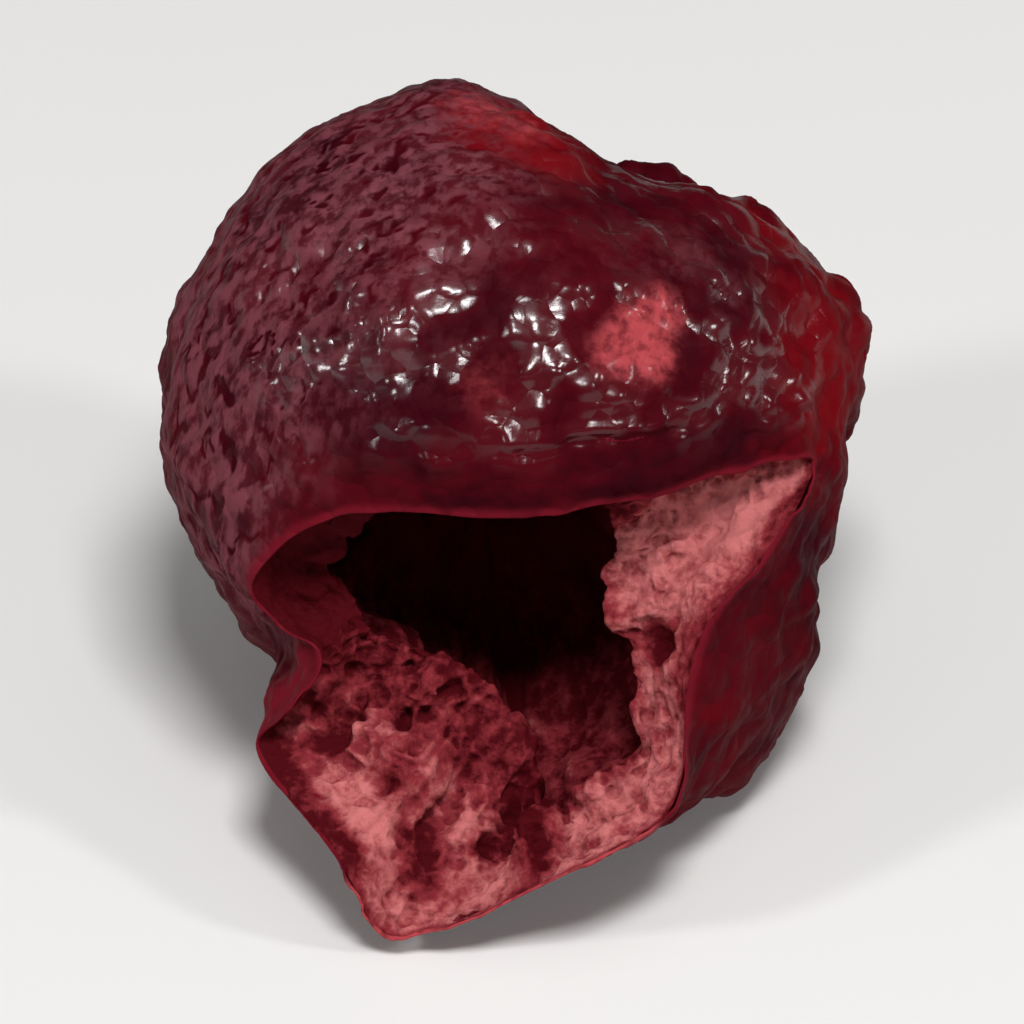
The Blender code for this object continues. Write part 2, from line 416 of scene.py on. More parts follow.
def eased(angles, towards, share):
    """Angles turned the short way towards others, by share."""
    return angles + ((towards - angles + math.pi) % (2 * math.pi) - math.pi) * share


def direction(polar, clock):
    """Unit vectors: polar angle from the back of the fruit, clock angle round it as seen from the front."""
    return np.stack([np.sin(polar) * np.cos(clock), np.cos(polar), np.sin(polar) * np.sin(clock)], axis=1)


def polar_clock_reach(points):
    """The two angles of direction(), and the distance from the origin."""
    reach = np.linalg.norm(points, axis=1)
    return np.arccos(points[:, 1] / reach), np.arctan2(points[:, 2], points[:, 0]), reach


def edge_points(stations, turn):
    """Points of an edge given as right, up, forward, in the model's own axes."""
    right, up, forward = around(stations, turn).T
    return np.stack([right, -forward, up], axis=1)


def bell(ways, way, spread):
    """1 in the direction of way, falling off to either side of it over spread in degrees."""
    away = np.degrees(np.arccos(np.clip(ways @ np.array(way) / np.linalg.norm(way), -1, 1)))
    return np.exp(-((away / spread) ** 2))


def ball_reach(ways):
    """Distance from the middle to the skin, before the skin leaves for its torn edge."""
    reach = 1 / np.linalg.norm(ways / np.array(BALL_HALVES), axis=1)
    for way, spread, height in BUMPS:
        reach += height * bell(ways, way, spread)
    return reach


def skin_points(turn, t):
    """The skin, from the back of the fruit at t 0 to its torn edge at t 1."""
    polar, clock, edge_reach = polar_clock_reach(edge_points(SKIN_EDGE, turn))
    ways = direction(polar * t, eased(np.radians(turn), clock, t * t))
    share = t ** around(LIP_ROLL, turn)[:, 0]
    return ways * (ball_reach(ways) * (1 - share) + edge_reach * share)[:, None]


def cut_points(turn, t):
    """The cut face of the flesh, from the skin's edge at t 0 to the hollow's edge at t 1."""
    outer = edge_points(SKIN_EDGE, turn)
    inner = edge_points(HOLLOW_EDGE, turn)
    along = edge_points(SKIN_EDGE, turn + 1) - edge_points(SKIN_EDGE, turn - 1)
    out = np.cross(inner - outer, along)
    out /= np.linalg.norm(out, axis=1)[:, None]
    swell = CUT_SWELL * 4 * t * (1 - t)
    for place, half_width, depth in CREASES:
        off = ((turn - place + 180) % 360 - 180) / half_width
        swell -= depth * np.exp(-(off**2)) * ramp(0, 0.5, t) * ramp(1, 0.6, t)
    return outer + (inner - outer) * t[:, None] + out * swell[:, None]


def hollow_points(turn, t):
    """The pit's hollow, from its edge at t 0 to its far end at t 1."""
    middle = np.array(PIT_MIDDLE)
    polar, clock, edge_reach = polar_clock_reach(edge_points(HOLLOW_EDGE, turn) - middle)
    ways = direction(polar * (1 - t), eased(np.radians(turn), clock, (1 - t) ** 2))
    pit_reach = 1 / np.linalg.norm(ways / np.array(PIT_HALVES), axis=1)
    share = ramp(PIT_NECK, 0, t)
    return middle + ways * (edge_reach * share + pit_reach * (1 - share))[:, None]


def fruit_points(turn, ring):
    """Points of the smooth form: ring runs from 0 at the back, over the torn edge, to the hollow's end."""
    points = np.empty((len(turn), 3))
    skin = ring <= SKIN_RINGS
    hollow = ring >= SKIN_RINGS + CUT_RINGS
    cut = ~(skin | hollow)
    points[skin] = skin_points(turn[skin], ring[skin] / SKIN_RINGS)
    points[cut] = cut_points(turn[cut], (ring[cut] - SKIN_RINGS) / CUT_RINGS)
    points[hollow] = hollow_points(turn[hollow], (ring[hollow] - SKIN_RINGS - CUT_RINGS) / HOLLOW_RINGS)
    return points


def folded(swell):
    """Round folds with narrow valleys between them, from about -0.25 to 1; a valley is where swell is 0."""
    return 2 * np.hypot(swell, VALLEY_ROUNDING) - FOLD_DROP


def crumple(point, table):
    """How far a point stands out of the smooth form, by folds of each width and height in the table."""
    return sum(height * folded(noise.noise(point / width * NOISE_STEPS)) for width, height in table)


def skin_crumple(point):
    """The same on the skin, where the plump side keeps only a share of the folds."""
    facing = point.normalized().dot(Vector(PLUMP_SIDE).normalized())
    return crumple(point, SKIN_FOLDS) * (1 + (PLUMP_SHARE - 1) * float(ramp(-0.35, 0.35, facing)))


def ball_places(ball, rings, segments):
    """Ring and segment number of each vertex of a ball, its rings counted from its upper pole."""
    points = np.array([vert.co for vert in ball.verts])
    ring = np.round(np.arccos(np.clip(points[:, 2], -1, 1)) / math.pi * rings).astype(int)
    segment = np.round(np.arctan2(-points[:, 1], points[:, 0]) / (2 * math.pi) * segments).astype(int)
    return ring, segment % segments


def fruit_grid():
    """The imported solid's points in millimetres from the fruit's middle, a row for each ring."""
    fruit = bmesh.new()
    bmesh.ops.create_uvsphere(fruit, u_segments=SEGMENTS, v_segments=RINGS, radius=1)
    ring, segment = ball_places(fruit, RINGS, SEGMENTS)
    for vert, point in zip(fruit.verts, fruit_points(segment * (360 / SEGMENTS), ring.astype(float))):
        vert.co = point
    fruit.normal_update()
    grid = np.empty((RINGS + 1, SEGMENTS, 3))
    for vert, row, column in zip(fruit.verts, ring, segment):
        flesh = float(ramp(SKIN_RINGS, SKIN_RINGS + CUT_RINGS / 2, row))
        out = skin_crumple(vert.co) * (1 - flesh) + crumple(vert.co, FLESH_CRAGS) * flesh
        place = vert.co + vert.normal * out
        place.z = max(place.z, -MIDDLE_HEIGHT)
        grid[row, slice(None) if row in (0, RINGS) else column] = place
    fruit.free()
    return grid


def into_frame(grid):
    """The move, in millimetres, that takes the form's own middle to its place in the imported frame."""
    low, high = (np.array(corner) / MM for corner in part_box("cherry"))
    own_low, own_high = grid.min(axis=(0, 1)), grid.max(axis=(0, 1))
    if np.abs((high - low) - (own_high - own_low)).max() > FORM_TOLERANCE:
        raise RuntimeError("the form worked out here isn't the packed solid's")
    return (low + high - own_low - own_high) / 2


def between(rows, place, closed):
    """Points of smooth curves through rows of points, at fractional row numbers."""
    count = len(rows)
    steps = np.eye(count) * 4 + np.roll(np.eye(count), 1, axis=0) + np.roll(np.eye(count), -1, axis=0)
    if not closed:
        steps[0] = steps[-1] = 0
        steps[0, 0] = steps[-1, -1] = 6
    guides = np.linalg.solve(steps / 6, rows.reshape(count, -1)).reshape(rows.shape)
    i = np.minimum(place.astype(int), count - 1 if closed else count - 2)
    t = (place - i)[:, None, None]
    if closed:
        before, start, end, after = (guides[(i + step) % count] for step in (-1, 0, 1, 2))
    else:
        ends = np.concatenate([[2 * guides[0] - guides[1]], guides, [2 * guides[-1] - guides[-2]]])
        before, start, end, after = (ends[i + step] for step in range(4))
    shares = (1 - t) ** 3, 3 * t**3 - 6 * t**2 + 4, 3 * (t + t**2 - t**3) + 1, t**3
    return (shares[0] * before + shares[1] * start + shares[2] * end + shares[3] * after) / 6


def smooth_surface(rows, place, columns):
    """A closed band of points read between the rows of a coarse one, at more places and in more columns."""
    tall = between(rows, place, closed=False).transpose(1, 0, 2)
    return between(tall, np.arange(columns) * (SEGMENTS / columns), closed=True).transpose(1, 0, 2)


def across_pole(rows):
    """Rows of points next to a pole as seen across it, where the other side's columns go on."""
    return np.roll(rows, SEGMENTS // 2, axis=1)[::-1]


def is_pole(row):
    """Whether a row's points all lie in one place."""
    return np.ptp(row, axis=0).max() < POLE_SIZE


def outward(points):
    """Unit normals of a band of points."""
    down = np.gradient(points, axis=0)
    along = np.roll(points, -1, axis=1) - np.roll(points, 1, axis=1)
    out = np.cross(along, down)
    for row, near in ((0, 1), (-1, -2)):
        if is_pole(points[row]):
            out[row] = out[near].mean(axis=0)
    return out / np.linalg.norm(out, axis=2)[:, :, None]


def run_from(points, row):
    """Distance of each point from the band's given row, measured down its column."""
    steps = np.linalg.norm(np.diff(points, axis=0), axis=2)
    run = np.concatenate([np.zeros((1, points.shape[1])), np.cumsum(steps, axis=0)])
    return np.abs(run - run[row])


def swells(points, width, seed):
    """Smooth swells of that width, from about -1 to 1; each seed gives others."""
    flat = (points / width * NOISE_STEPS + seed * SWELL_SEED_STEP).reshape(-1, 3)
    return np.array([noise.noise(Vector(point)) for point in flat]).reshape(points.shape[:-1])


def folds(points, width, seed):
    """Folds of that width."""
    return folded(swells(points, width, seed))


def sponge(points, width, seed):
    """Pits of about that width with ridges between them: 0 on the ridges, up to 1 in the deepest pits."""
    flat = (points / width + seed * PIT_SEED_STEP).reshape(-1, 3)
    pits = np.empty(len(flat))
    for i, point in enumerate(flat):
        (near, next_near, *_), (middle, *_) = noise.voronoi(Vector(point))
        pits[i] = (next_near - near) * (1 + 0.8 * noise.cell(middle * 7))
    return ramp(0.05, 0.55, pits).reshape(points.shape[:-1])


def patches(points, table):
    """How strongly a table of patches tints each point, from 0 to 1."""
    ways = points / np.linalg.norm(points, axis=-1)[..., None]
    bare = np.ones(points.shape[:-1])
    for way, spread, strength in table:
        bare *= 1 - strength * bell(ways, way, spread)
    return 1 - bare


def spots(points, table):
    """Soft round spots, each with a place, a reach and a height."""
    total = np.zeros(points.shape[:-1])
    for place, reach, height in table:
        away = np.sum((points - np.array(place)) ** 2, axis=-1)
        total += height * np.exp(-away / reach**2)
    return total


def room(points, facing):
    """Distance from each point to another band's surface."""
    band, _ = sheet_of(facing)
    tree = BVHTree.FromBMesh(band)
    band.free()
    gaps = [tree.find_nearest(Vector(point))[3] for point in points.reshape(-1, 3)]
    return np.array(gaps).reshape(points.shape[:-1])


def window(turn, low, high, soft):
    """1 for turns from low to high, fading to 0 over soft degrees beyond them."""
    middle, half = (low + high) / 2, (high - low) / 2
    off = np.abs((turn - middle + 180) % 360 - 180)
    return 1 - ramp(half, half + soft, off)


def sheet_of(rows):
    """A sheet wrapped round through rows of points, and the row and column of each of its vertices."""
    sheet = bmesh.new()
    rings, columns = len(rows) - 1, rows.shape[1]
    bmesh.ops.create_grid(sheet, x_segments=columns, y_segments=rings, size=1)
    flat = np.array([vert.co for vert in sheet.verts])
    segment = np.round((flat[:, 0] + 1) / 2 * columns).astype(int) % columns
    ring = np.round((flat[:, 1] + 1) / 2 * rings).astype(int)
    for row in (0, rings):
        if is_pole(rows[row]):
            segment[ring == row] = 0
    kept, joined = {}, {}
    for vert, spot, place in zip(sheet.verts, zip(ring, segment), rows[ring, segment]):
        vert.co = place
        if kept.setdefault(spot, vert) is not vert:
            joined[vert] = kept[spot]
    bmesh.ops.weld_verts(sheet, targetmap=joined)
    return sheet, np.array(list(kept)).T


def make_piece(name, rows, tints):
    """A closed piece from rows of points in metres, of which the first and the last are drawn together."""
    sheet, (ring, segment) = sheet_of(rows)
    if sheet.calc_volume(signed=True) < 0:
        bmesh.ops.reverse_faces(sheet, faces=sheet.faces)
    for face in sheet.faces:
        face.smooth = True
    mesh = bpy.data.meshes.new(name)
    sheet.to_mesh(mesh)
    sheet.free()
    for tint, values in tints.items():
        layer = mesh.attributes.new(tint, "FLOAT", "POINT")
        layer.data.foreach_set("value", values[ring, segment].astype(np.float32))
    piece = bpy.data.objects.new(name, mesh)
    bpy.context.scene.collection.objects.link(piece)
    return piece


def finish_piece(piece, material):
    """Gives a piece its material and its place in the frame."""
    piece.data.materials.append(material)
    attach(piece, "root")
    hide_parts("cherry")


class Paint:
    """Builds a material's nodes, so that a finish reads as a few lines."""

    def __init__(self, name):
        self.material = bpy.data.materials.new(name)
        self.material.use_nodes = True
        self.tree = self.material.node_tree
        self.shader = self.tree.nodes["Principled BSDF"]
        self.shader.inputs["Metallic"].default_value = 0
        self.place = self.add("ShaderNodeTexCoord").outputs["Object"]

    def add(self, kind, sockets=(), **settings):
        """Adds a node, sets its options and links or sets its sockets."""
        node = self.tree.nodes.new(kind)
        for option, value in settings.items():
            setattr(node, option, value)
        for socket, value in dict(sockets).items():
            self.put(node.inputs[socket], value)
        return node

    def put(self, socket, value):
        """Links a socket, or sets it where value is plain."""
        if isinstance(value, bpy.types.NodeSocket):
            self.tree.links.new(value, socket)
        else:
            socket.default_value = value

    def set(self, **sockets):
        """Links or sets the shader's own sockets."""
        for socket, value in sockets.items():
            self.put(self.shader.inputs[socket.replace("_", " ")], value)

    def tint(self, name):
        """A value painted on the piece's points."""
        return self.add("ShaderNodeAttribute", attribute_name=name).outputs["Fac"]

    def mottle(self, width, detail=3.0, rough=0.6, stretch=(1, 1, 1)):
        """Cloudy noise from 0 to 1, its clouds about width millimetres across."""
        place = self.add("ShaderNodeMapping", {"Vector": self.place, "Scale": stretch}).outputs["Vector"]
        sockets = {"Vector": place, "Scale": 1 / (width * MM), "Detail": detail, "Roughness": rough}
        return self.add("ShaderNodeTexNoise", sockets).outputs["Fac"]

    def domes(self, width):
        """Round domes about width millimetres across: 1 at their tops, down to the creases between them."""
        sockets = {"Vector": self.place, "Scale": 1 / (width * MM)}
        away = self.add("ShaderNodeTexVoronoi", sockets).outputs["Distance"]
        return self.maths("SUBTRACT", 1.0, self.maths("MULTIPLY", away, away))

    def maths(self, operation, first, second):
        """The result of a sum on two values, whose sockets share a name and so go by number."""
        return self.add("ShaderNodeMath", {0: first, 1: second}, operation=operation).outputs[0]

    def ramp(self, value, low, high, start=0.0, end=1.0):
        """Goes smoothly from start to end as value goes from low to high."""
        sockets = {"Value": value, "From Min": low, "From Max": high, "To Min": start, "To Max": end}
        return self.add("ShaderNodeMapRange", sockets, interpolation_type="SMOOTHSTEP").outputs["Result"]

    def mix(self, share, first, second):
        """A colour between two, by share; the sockets share names and so go by number."""
        return self.add("ShaderNodeMix", {0: share, 6: first, 7: second}, data_type="RGBA").outputs[2]

    def bump(self, height, distance, normal=None):
        """A bumped normal; distance in millimetres is how far a height of 1 stands out."""
        sockets = {"Height": height, "Distance": distance * MM}
        if normal is not None:
            sockets["Normal"] = normal
        return self.add("ShaderNodeBump", sockets).outputs["Normal"]


def colour(name, description, default):
    """A colour that the user can change."""
    return FloatVectorProperty(
        name=name, description=description, default=default, subtype="COLOR", size=4, min=0, max=1
    )


def length(name, description, default):
    """A small length in metres that the user can change."""
    return FloatProperty(
        name=name, description=description, default=default * MM, min=0,
        subtype="DISTANCE", unit="LENGTH", precision=5,
    )


def power(name, description, default):
    """A light's power in watts that the user can change."""
    return FloatProperty(name=name, description=description, default=default, min=0, unit="POWER")


class CherrySizes(bpy.types.PropertyGroup):
    """Sizes of the cherry's fine relief."""

    skin: length("Skin", "Thickness of the skin at its torn edge", 0.07)
    lining: length("Lining", "Thickness of skin and clinging flesh, away from the edge", 0.30)
    folds: length("Folds", "Height of the skin's folds", 0.13)
    wrinkles: length("Wrinkles", "Height of the wrinkles between the folds", 0.06)
    cracks: length("Cracks", "Depth of the fine cracks in the bloom", 0.07)
    fibres: length("Fibres", "Height of the flesh's fibres", 0.14)
    crags: length("Crags", "Height of the flesh's crags", 0.12)
    pores: length("Pores", "Depth of the flesh's pores", 0.14)


class CherryColours(bpy.types.PropertyGroup):
    """Colours of the cherry's skin and flesh."""

    dark: colour("Dark skin", "Darkest clouds of the skin", (0.036, 0.001, 0.004, 1))
    skin: colour("Skin", "Dark skin between the tints", (0.075, 0.002, 0.006, 1))
    blush: colour("Blush", "Redder skin at the crown and the right-hand end", (0.150, 0.002, 0.005, 1))
    # Bloom colour: partly the skin's dull mauve bloom, partly painted sheen
    bloom: colour("Bloom", "Dull mauve bloom on the shoulders", (0.165, 0.040, 0.053, 1))
    worn: colour("Worn", "Rubbed patches where the flesh shows through", (0.430, 0.060, 0.070, 1))
    rim: colour("Rim", "Torn edge of the skin", (0.160, 0.007, 0.016, 1))
    pale: colour("Pale flesh", "Ridges of the cut face", (0.570, 0.165, 0.165, 1))
    flesh: colour("Flesh", "Middle tone of the cut face", (0.225, 0.022, 0.030, 1))
    # Deep flesh: the pits' own dark red, and painted shade in creases, furrows, under the upper lip and at
    # the hollow's mouth
    deep: colour("Deep flesh", "Pits and creases", (0.070, 0.001, 0.004, 1))
    hollow: colour("Hollow", "Lining of the pit's hollow", (0.210, 0.008, 0.014, 1))


class CherryStudio(bpy.types.PropertyGroup):
    """The floor, the lights and the camera."""

    floor: colour("Floor", "The pale floor", (0.84, 0.83, 0.82, 1))
    surround: FloatProperty(
        name="Surround", description="Strength of the white surroundings", default=0.06, min=0
    )
    key: power("Key light", "Power of the light in front", 1.2)
    side: power("Side lights", "Power of each light at the sides", 0.4)
    soft: power("Soft light", "Power of the wide light overhead", 0.35)
    elevation: FloatProperty(
        name="Elevation", description="How far the camera looks down",
        default=math.radians(35), subtype="ANGLE",
    )
    distance: length("Distance", "From the camera to the cherry", 500)
    width: length("Width", "Width of the picture at the cherry", 25.6)


def skin_relief(points, turn, from_edge, sizes):
    """The skin's fine relief, in millimetres, and the values that its material paints with."""
    bloom = patches(points, BLOOM_AND_SHEEN_PATCHES)
    blush = patches(points, BLUSH_PATCHES)
    worn = patches(points, WORN_PATCHES)
    gloss = patches(points, GLOSS_PATCHES)
    # Near its edge the upper lip loses its bloom and sheen, so its dark skin there is painted shade
    bloom = bloom * (1 - window(turn, *SHADED_LIP) * ramp(2.4, 1.2, from_edge))

    # Cracks run upwards, and most of them are in the bloom
    upright = points * (1.0, 1.0, 0.5)
    cracks = ramp(0.22, 0.0, np.abs(swells(upright, CRACK_WIDTH, 3)))
    cracks *= ramp(-0.15, 0.15, swells(points, CRACKED_WIDTH, 9))
    cracks *= 0.25 + 0.75 * bloom
    sharper = 1 - 0.4 * bloom + 0.9 * gloss
    relief = sizes.folds / MM * (folds(points, FOLD_WIDTH, 1) - 0.1)
    relief += sizes.wrinkles / MM * (folds(points, WRINKLE_WIDTH, 2) - 0.1) * sharper
    relief -= sizes.cracks / MM * cracks
    relief -= WORN_DEPTH * worn
    crease_place, crease_depth = around(BROW_CREASE, turn[0]).T
    across = from_edge - crease_place + 0.15 * swells(points, 1.6, 8)
    relief -= crease_depth * np.exp(-((across / CREASE_HALF) ** 2))
    relief += crease_depth / 2 * np.exp(-(((across - RIDGE_PLACE) / RIDGE_HALF) ** 2))

    gloss = gloss * ramp(0.9, 1.9, from_edge) * (1 - worn)
    bare_rim = window(turn, *CHIN_SKIN)
    rim = np.maximum(ramp(0.35, 0.05, from_edge), window(turn, *FLAP_SKIN) * ramp(1.7, 1.0, from_edge))
    rim = rim * (1 - bare_rim)
    worn = np.maximum(worn, 0.8 * bare_rim * ramp(0.5, 0.2, from_edge))
    tints = {"bloom": bloom, "blush": blush, "worn": worn, "gloss": gloss, "crack": cracks, "rim": rim}
    return relief, tints


def flesh_sink(from_edge, gap, sizes):
    """How far the flesh lies under the smooth skin: little at the torn edge and where the gap is narrow."""
    full = np.minimum(sizes.skin / MM / 2 + SINK_SLOPE * from_edge, FLESH_SINK)
    return np.minimum(full, SINK_LEAST + SINK_SHARE * gap)


def padded(tints, before=0, after=0):
    """The tints with their first row repeated before them, and their last row after them."""
    return {name: np.pad(values, ((before, after), (0, 0)), mode="edge") for name, values in tints.items()}


def skin_rows(grid, sizes):
    """Rows of points of the whole skin, in millimetres: its outer side, its hem and its inner side."""
    rows = np.concatenate([across_pole(grid[1 : POLE_ROWS + 1]), grid[: SKIN_RINGS + 1]])
    share = np.linspace(0, 1, SKIN_ROWS + 1)
    closing = 1 - (1 - share) ** CLOSING_POWER
    place = SKIN_RINGS * ((1 - CLOSING_SHARE) * share + CLOSING_SHARE * closing)
    smooth = smooth_surface(rows, POLE_ROWS + place, SKIN_COLUMNS)
    smooth[0] = grid[0, 0]
    facing_place = np.linspace(0, RINGS - SKIN_RINGS, FACING_ROWS + 1)
    gap = room(smooth, smooth_surface(grid[SKIN_RINGS:], facing_place, SKIN_COLUMNS // 2))
    turn = np.arange(SKIN_COLUMNS) * (360 / SKIN_COLUMNS)
    from_edge = run_from(smooth, -1)
    out = outward(smooth)
    relief, tints = skin_relief(smooth, turn[None], from_edge, sizes)
    tints["gloss"] = tints["gloss"] * (LOW_GLOSS + (1 - LOW_GLOSS) * ramp(*GLOSS_LEAN, out[:, :, 2]))
    relief = np.maximum(relief, -DIP_SHARE * flesh_sink(from_edge, gap, sizes))
    relief *= ramp(-MIDDLE_HEIGHT, RELIEF_CLEARANCE - MIDDLE_HEIGHT, smooth[:, :, 2])
    relief *= ramp(0, SKIN_ROWS / 30, np.arange(SKIN_ROWS + 1))[:, None]
    outer = smooth + out * relief[:, :, None]

    edge, edge_out = outer[-1], out[-1]
    ahead = smooth[-1] - smooth[-4]
    ahead -= edge_out * np.sum(ahead * edge_out, axis=1)[:, None]
    ahead /= np.linalg.norm(ahead, axis=1)[:, None]
    thick = sizes.skin / MM * (1 + 0.4 * swells(edge, 1.3, 6))
    hem = []
    for step in range(1, HEM_ROWS + 1):
        angle = math.pi * step / HEM_ROWS
        bend = edge_out * (math.cos(angle) - 1) + ahead * math.sin(angle)
        hem.append(edge + bend * (thick / 2)[:, None])

    lining = []
    share = np.linspace(0, 1, LINING_ROWS + 1)[1:]
    for row in np.unique((SKIN_ROWS * (1 - share**LINING_POWER)).astype(int))[::-1]:
        deep = ramp(*LINING_REACH, from_edge[row])
        full = thick * (1 - deep) + sizes.lining / MM * deep
        depth = np.minimum(full, LINING_LEAST + LINING_SHARE * gap[row])
        lining.append(outer[row] - out[row] * depth[:, None])
    lining[-1][:] = lining[-1].mean(axis=0)
    return np.concatenate([outer, hem, lining]), padded(tints, after=len(hem) + len(lining))


def flesh_relief(points, turn, from_edge, depth, sizes):
    """The flesh's fine relief, in millimetres, and the values that its material paints with."""
    pale = around(PALE_TURNS, turn[0])[:, 0] + spots(points, FLESH_TONES)

    # Fibres wander a little and are strongest on flap and floor; the pits are deepest in the flap
    angle = np.broadcast_to(np.radians(turn), from_edge.shape)
    ring = FIBRE_RING * np.cos(angle), FIBRE_RING * np.sin(angle)
    strands = np.stack([*ring, FIBRE_RUN * from_edge], axis=2)
    fibres = folds(strands + 0.12 * swells(points, 1.2, 5)[:, :, None], FIBRE_WIDTH, 1)
    crags = folds(points, CRAG_WIDTH, 2)
    wide_pits = sponge(points, WIDE_PIT_WIDTH, 3)
    fine_pits = sponge(points, FINE_PIT_WIDTH, 4)
    streaky = 0.35 + 0.65 * window(turn, *FIBROUS)
    spongy = 0.45 + 0.55 * window(turn, *FLAP_FLESH)
    relief = streaky * sizes.fibres / MM * fibres + sizes.crags / MM * (crags - 0.1)
    relief -= sizes.pores / MM * (1.2 * spongy * wide_pits + 0.8 * fine_pits - 0.4)
    relief -= spots(points, FLESH_PITS)

    # Pale flesh fades out towards the torn edge, and fades and darkens on the way into the hollow as painted
    # shade
    pale -= 0.9 * window(turn, *FLAP_BRIM) * ramp(0.95, 0.45, from_edge)
    hem = window(turn, *CHIN_HEM) * ramp(0.1, 0.4, from_edge) * ramp(1.3, 0.7, from_edge)
    pale += hem * np.maximum(CHIN_PALENESS - pale, 0)
    # Painted shade at the mouth of the hollow
    pale -= 0.5 * ramp(0.8, 1.2, depth)
    fading = 0.5 + 0.3 * window(turn, *RIGHT_HALF)
    fade = ramp(0.0, 0.35 + window(turn, *WALL), from_edge) * (1 - ramp(fading, fading + 0.4, depth))
    pale = np.where(pale > 0, pale * fade, pale)
    return relief, {"height": relief / HEIGHT_STEP, "pale": pale, "depth": depth}


def flesh_rows(grid, sizes):
    """Rows of points of the flesh, in millimetres: its side under the skin, its cut face and the hollow."""
    skin = np.concatenate([across_pole(grid[1 : POLE_ROWS + 1]), grid[: SKIN_RINGS + 1]])
    share = np.linspace(1, 0, BURIED_ROWS + 1)
    under = smooth_surface(skin, POLE_ROWS + SKIN_RINGS * (1 - share**2), FLESH_COLUMNS)
    under[0] = grid[0, 0]
    under_out = outward(under)
    half_skin = sizes.skin / MM / 2

    open_side = np.concatenate([grid[SKIN_RINGS:], across_pole(grid[RINGS - POLE_ROWS : RINGS])])
    cut = np.linspace(0, CUT_RINGS, CUT_ROWS + 1)
    hollow = CUT_RINGS + np.linspace(0, HOLLOW_RINGS, HOLLOW_ROWS + 1)[1:]
    place = np.concatenate([cut, hollow])
    smooth = smooth_surface(open_side, place, FLESH_COLUMNS)
    out = outward(smooth)
    turn = np.arange(FLESH_COLUMNS) * (360 / FLESH_COLUMNS)
    from_edge = run_from(smooth, 0)
    depth = np.where(place <= CUT_RINGS, place / CUT_RINGS, 1 + (place - CUT_RINGS) / HOLLOW_RINGS)
    depth = np.broadcast_to(depth[:, None], from_edge.shape)
    relief, tints = flesh_relief(smooth, turn[None], from_edge, depth, sizes)
    upper = window(turn[None], *UNDER_LIP)
    inside = ramp(1.0, 1.3, depth) * window(turn[None], *OPEN_FLESH)
    relief = relief * (1 - 0.5 * upper - 0.5 * inside)
    relief = np.maximum(relief, -PIT_SHARE * room(smooth, under[:-1]))
    relief *= ramp(0.05, 0.45, from_edge) * ramp(2, 1.85, depth)
    tucked = (half_skin * ramp(0.7, 0, from_edge))[:, :, None] * under_out[-1][None]
    shown = smooth + out * relief[:, :, None] - tucked
    shown[-1] = shown[-1].mean(axis=0)
    sink = flesh_sink(run_from(under, -1), room(under, smooth[::2]), sizes)
    buried = (under - under_out * sink[:, :, None])[:-1]
    return np.concatenate([buried, shown]), padded(tints, before=len(buried))


def skin_material(colours):
    """Dark skin with dull bloom that is partly painted sheen, red blush and rubbed patches, glossy where it
    is bare.
    """
    paint = Paint("cherry skin")
    clouds = paint.mottle(1.6)
    specks = paint.mottle(0.35, detail=4)
    streaks = paint.mottle(0.40, stretch=(1, 1, 0.45))
    shadows = paint.mottle(3.0)
    bloom = paint.maths("MULTIPLY", paint.tint("bloom"), paint.ramp(clouds, 0.25, 0.75, start=0.5, end=1.7))
    bloom = paint.ramp(bloom, 0.05, 0.9)
    dust_and_sheen = paint.maths("MULTIPLY", bloom, paint.ramp(streaks, 0.38, 0.6, start=0.15))
    dust_and_sheen = paint.maths("MULTIPLY", dust_and_sheen, paint.ramp(paint.tint("crack"), 0.15, 0.6, start=1.0, end=0.0))
    blush = paint.maths("ADD", paint.tint("blush"), paint.ramp(clouds, 0.2, 0.8, start=0.25, end=-0.25))
    worn = paint.maths("MULTIPLY", paint.tint("worn"), paint.ramp(specks, 0.3, 0.7, start=0.55, end=1.3))
    worn = paint.ramp(worn, 0.1, 0.95)
    base = paint.mix(paint.ramp(shadows, 0.35, 0.6), tuple(colours.dark), tuple(colours.skin))
    base = paint.mix(paint.ramp(blush, 0.1, 0.9), base, tuple(colours.blush))
    # Mauve bloom, partly painted sheen, over the skin
    base = paint.mix(dust_and_sheen, base, tuple(colours.bloom))
    base = paint.mix(paint.maths("MULTIPLY", worn, 0.95), base, tuple(colours.worn))
    base = paint.mix(paint.maths("MULTIPLY", paint.tint("rim"), 0.85), base, tuple(colours.rim))
    bumps = paint.bump(paint.domes(0.64), 0.16)
    bumps = paint.bump(paint.mottle(0.7, detail=0), 0.05, normal=bumps)
    bumps = paint.bump(specks, 0.012, normal=bumps)
    clusters = paint.ramp(paint.mottle(1.5, detail=1), 0.44, 0.52)
    shine = paint.maths("MULTIPLY", paint.tint("gloss"), clusters)
    shine = paint.maths("MULTIPLY", shine, paint.ramp(dust_and_sheen, 0.4, 1.0, start=1.0, end=0.5))
    paint.set(Base_Color=base, Roughness=paint.ramp(specks, 0.3, 0.7, start=0.5, end=0.65), Normal=bumps)
    paint.set(Coat_Weight=shine, Coat_Roughness=0.22, Coat_IOR=1.6, Coat_Normal=bumps)
    paint.set(Specular_IOR_Level=0.02)
    return paint.material


